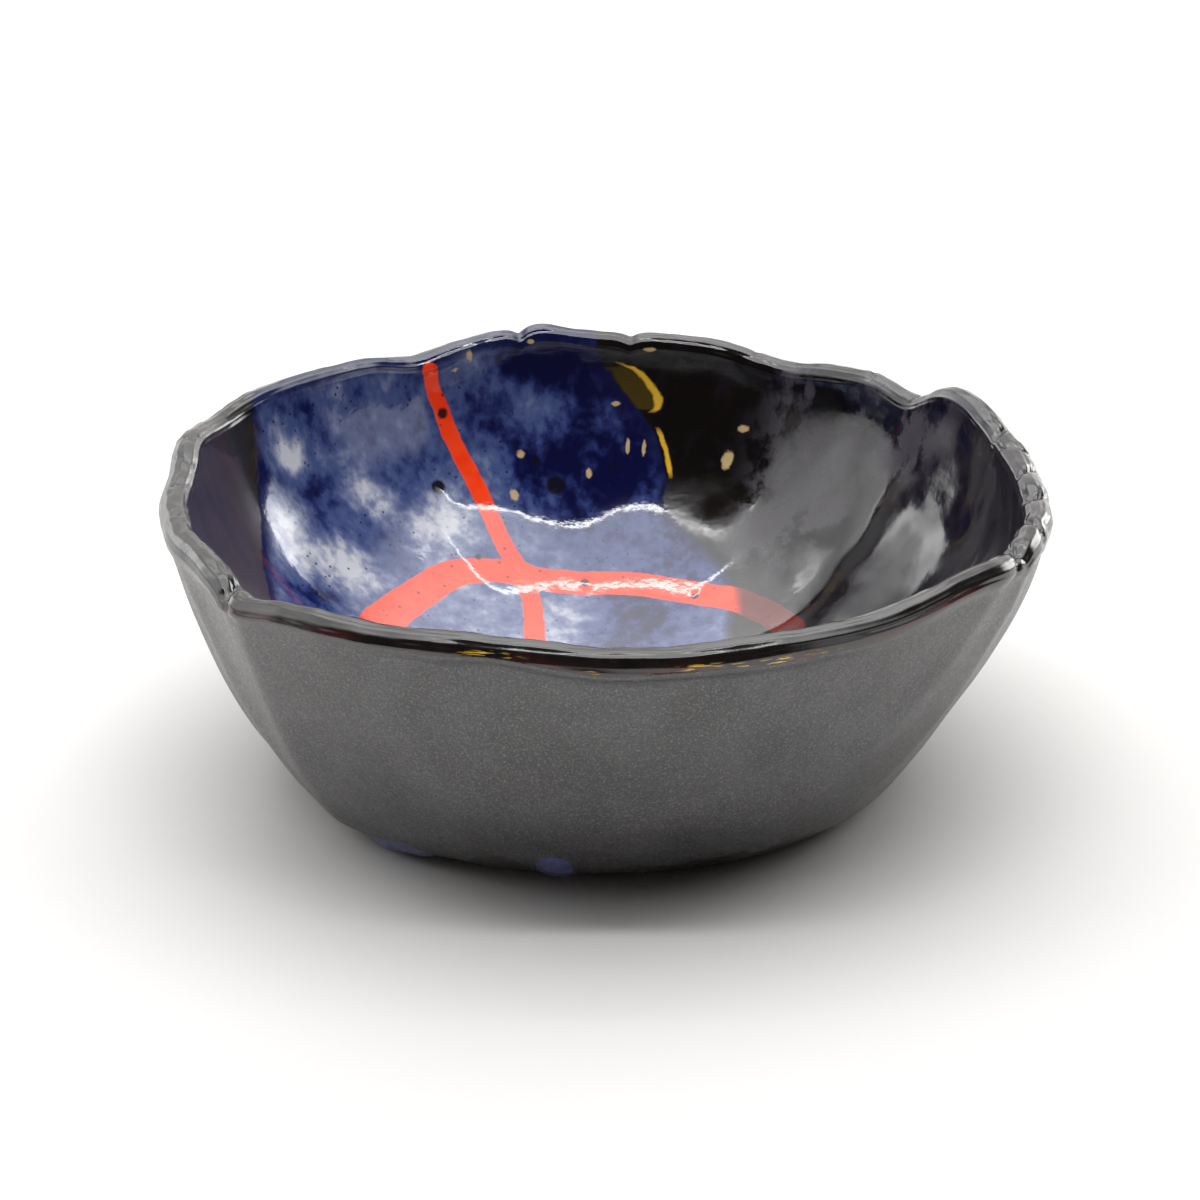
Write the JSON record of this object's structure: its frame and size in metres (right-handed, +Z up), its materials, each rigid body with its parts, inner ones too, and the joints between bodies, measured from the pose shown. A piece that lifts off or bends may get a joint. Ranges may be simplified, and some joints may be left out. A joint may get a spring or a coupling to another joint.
{
  "type": "tea bowl",
  "caption": "Round hand-pinched ceramic tea bowl with a wavy rounded lip, folded flaring walls, a flat underside and an open glazed inside that holds tea.",
  "frame": {"origin": "on the underside, at the middle of the bowl's outline seen from above", "axes": "+Z up through the open mouth, +X to the right and +Y to the back as the picture shows the bowl"},
  "size_m": [0.129, 0.13, 0.0469],
  "materials": {
    "glazed_clay": "satin dark grey glaze outside, glossy mottled blue and black glazes with orange bands inside"
  },
  "bodies": {
    "root": {"bowl": "glazed_clay"}
  },
  "joints": []
}
